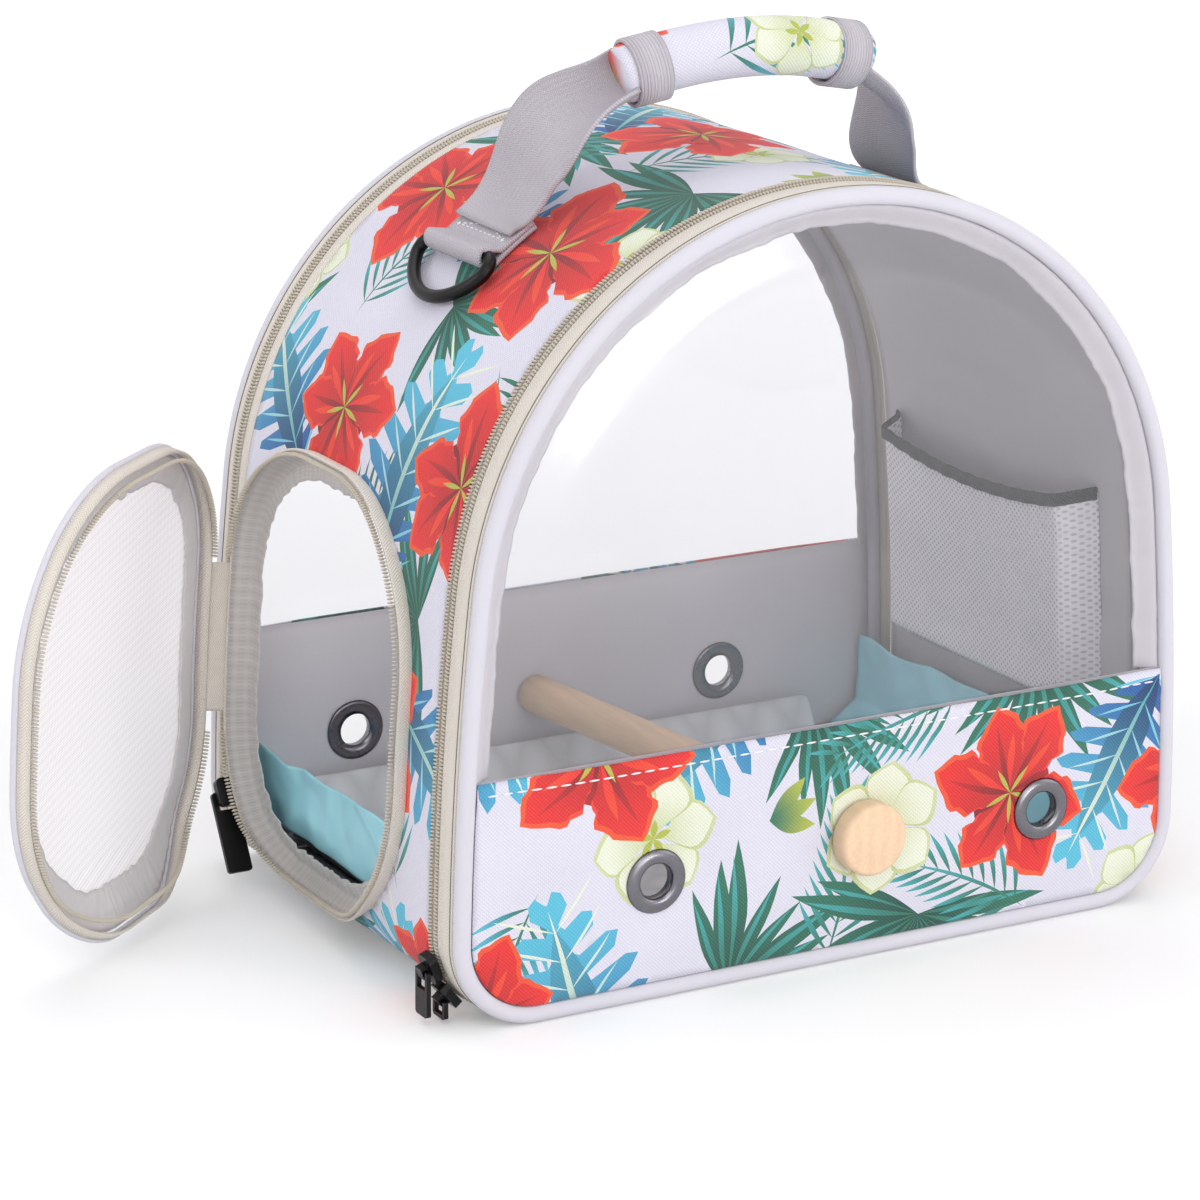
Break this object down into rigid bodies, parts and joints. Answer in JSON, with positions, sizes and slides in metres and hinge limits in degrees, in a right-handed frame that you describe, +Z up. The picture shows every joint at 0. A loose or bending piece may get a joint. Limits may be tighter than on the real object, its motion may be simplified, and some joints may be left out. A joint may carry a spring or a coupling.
{
  "type": "bird travel carrier",
  "caption": "Soft arched travel carrier for a small bird, with zipped clear end doors, a zipped mesh side door, a wooden perch, a padded handle and strap rings.",
  "frame": {"origin": "centre of the flat base, on the surface the carrier stands on", "axes": "+Z up, front end door towards -Y, side door in the -X wall"},
  "size_m": [0.3976, 0.2058, 0.3077],
  "materials": {
    "printed_fabric": "woven canvas printed with a tropical pattern",
    "base_cloth": "plain woven cloth",
    "wall_foam": "soft closed-cell foam",
    "lining": "smooth grey lining",
    "board": "stiff board",
    "zip_teeth": "satin coil",
    "zip_tape": "herringbone tape",
    "piping": "satin covered cord",
    "hoop_wire": "spring wire",
    "clear_film": "clear flexible film",
    "frill": "gathered lining cloth",
    "mesh": "open knitted mesh",
    "binding": "wrinkled binding",
    "elastic": "ribbed elastic",
    "webbing": "ribbed woven webbing",
    "grip_foam": "soft foam",
    "grip_print": "padded printed canvas",
    "dark_metal": "dark nickel",
    "gunmetal": "dark polished metal",
    "birch": "sanded pale birch",
    "screw_steel": "zinc-plated steel",
    "pad_film": "crinkled plastic film",
    "pad_core": "quilted absorbent pad"
  },
  "bodies": {
    "cabin": {"base_cover": "base_cloth", "gusset_fabric": "printed_fabric", "gusset_foam": "wall_foam", "gusset_lining": "lining", "base_board": "board", "front_gusset_coil": "zip_teeth", "rear_gusset_coil": "zip_teeth", "rear_gusset_tape": "zip_tape", "side_rim_tape": "zip_tape", "side_rim_coil": "zip_teeth", "side_rim_frill": "lining", "mesh_pocket": "mesh", "pocket_elastic": "elastic", "perch_dowel": "birch", "strap_anchors": "webbing"},
    "front_door": {"front_piping": "piping", "front_hoop_wire": "hoop_wire", "front_rim_tape": "zip_tape", "front_door_coil": "zip_teeth", "front_window": "clear_film", "front_band_fabric": "printed_fabric", "front_band_lining": "lining", "front_frill": "frill", "front_grommets": "gunmetal"},
    "rear_door": {"rear_piping": "piping", "rear_hoop_wire": "hoop_wire", "rear_rim_tape": "zip_tape", "rear_door_coil": "zip_teeth", "rear_window": "clear_film", "rear_band_fabric": "printed_fabric", "rear_band_lining": "lining", "rear_frill": "frill", "rear_grommets": "gunmetal"},
    "front_perch_knob": {"front_knob": "birch", "front_knob_screw": "screw_steel"},
    "rear_perch_knob": {"rear_knob": "birch", "rear_knob_screw": "screw_steel"},
    "side_door": {"side_door_tape": "zip_tape", "side_door_coil": "zip_teeth", "side_piping": "piping", "side_mesh": "mesh", "side_binding": "binding"},
    "handle": {"handle_strap_left": "webbing", "handle_strap_right": "webbing", "grip_core": "grip_foam", "grip_sleeve": "grip_print"},
    "ring_left": {"d_ring_left": "dark_metal"},
    "ring_right": {"d_ring_right": "dark_metal"},
    "front_lead_slider": {"front_slider_lead": "dark_metal"},
    "front_lead_tab": {"front_lead_pull": "dark_metal"},
    "front_stop_slider": {"front_slider_stop": "dark_metal"},
    "front_stop_pull": {"front_stop_ring": "dark_metal"},
    "rear_zip_slider": {"rear_slider": "dark_metal"},
    "rear_zip_pull": {"rear_pull": "dark_metal"},
    "side_zip_slider": {"side_slider": "dark_metal"},
    "side_zip_pull": {"side_pull": "dark_metal"},
    "floor_pad": {"pad_film": "pad_film", "pad_core": "pad_core"}
  },
  "joints": [
    {"name": "front_door_hinge", "type": "hinge", "parent": "cabin", "child": "front_door", "pos_m": [0, -0.092, 0.003], "axis": [1, 0, 0], "range_deg": [0, 73]},
    {"name": "rear_door_hinge", "type": "hinge", "parent": "cabin", "child": "rear_door", "pos_m": [0, 0.092, 0.003], "axis": [-1, 0, 0], "range_deg": [0, 73]},
    {"name": "front_knob_out", "type": "slide", "parent": "front_door", "child": "front_perch_knob", "axis": [0, -1, 0], "range_m": [0, 0.012]},
    {"name": "rear_knob_out", "type": "slide", "parent": "rear_door", "child": "rear_perch_knob", "axis": [0, 1, 0], "range_m": [0, 0.012]},
    {"name": "side_door_hinge", "type": "hinge", "parent": "cabin", "child": "side_door", "pos_m": [-0.14436, 0.0754, 0.088], "axis": [0, 0, 1], "range_deg": [-55, 50]},
    {"name": "handle_swing", "type": "hinge", "parent": "cabin", "child": "handle", "pos_m": [0, 0, 0.24461], "axis": [1, 0, 0], "range_deg": [-74, 15]},
    {"name": "ring_left_swing", "type": "hinge", "parent": "cabin", "child": "ring_left", "pos_m": [-0.08906, 0, 0.23414], "axis": [0, 1, 0], "range_deg": [0, 100]},
    {"name": "ring_right_swing", "type": "hinge", "parent": "cabin", "child": "ring_right", "pos_m": [0.08906, 0, 0.23414], "axis": [0, -1, 0], "range_deg": [0, 100]},
    {"name": "front_lead_slide", "type": "hinge", "parent": "cabin", "child": "front_lead_slider", "pos_m": [-0.10991, -0.0773, 0.03], "axis": [0, 1, 0], "range_deg": [0, 18]},
    {"name": "front_lead_pull_swing", "type": "hinge", "parent": "front_lead_slider", "child": "front_lead_tab", "pos_m": [-0.14314, -0.0773, 0.01823], "axis": [0, 1, 0], "range_deg": [0, 110]},
    {"name": "front_stop_slide", "type": "hinge", "parent": "cabin", "child": "front_stop_slider", "pos_m": [-0.10991, -0.0773, 0.03], "axis": [0, 1, 0], "range_deg": [-3, 0.5]},
    {"name": "front_stop_ring_swing", "type": "hinge", "parent": "front_stop_slider", "child": "front_stop_pull", "pos_m": [-0.13692, -0.0773, 0.00734], "axis": [0, 1, 0], "range_deg": [0, 48]},
    {"name": "rear_slide", "type": "hinge", "parent": "cabin", "child": "rear_zip_slider", "pos_m": [0.10991, 0.0828, 0.03], "axis": [0, -1, 0], "range_deg": [-18, 18]},
    {"name": "rear_pull_swing", "type": "hinge", "parent": "rear_zip_slider", "child": "rear_zip_pull", "pos_m": [0.14314, 0.0828, 0.01823], "axis": [0, -1, 0], "range_deg": [0, 110]},
    {"name": "side_slide", "type": "hinge", "parent": "cabin", "child": "side_zip_slider", "pos_m": [-0.14505, 0.025, 0.0615], "axis": [1, 0, 0], "range_deg": [-5, 9]},
    {"name": "side_pull_swing", "type": "hinge", "parent": "side_zip_slider", "child": "side_zip_pull", "pos_m": [-0.14505, 0.07126, 0.03259], "axis": [1, 0, 0], "range_deg": [-2, 120]},
    {"name": "pad_lift", "type": "slide", "parent": "cabin", "child": "floor_pad", "axis": [0, 0, 1], "range_m": [0, 0.004]}
  ]
}
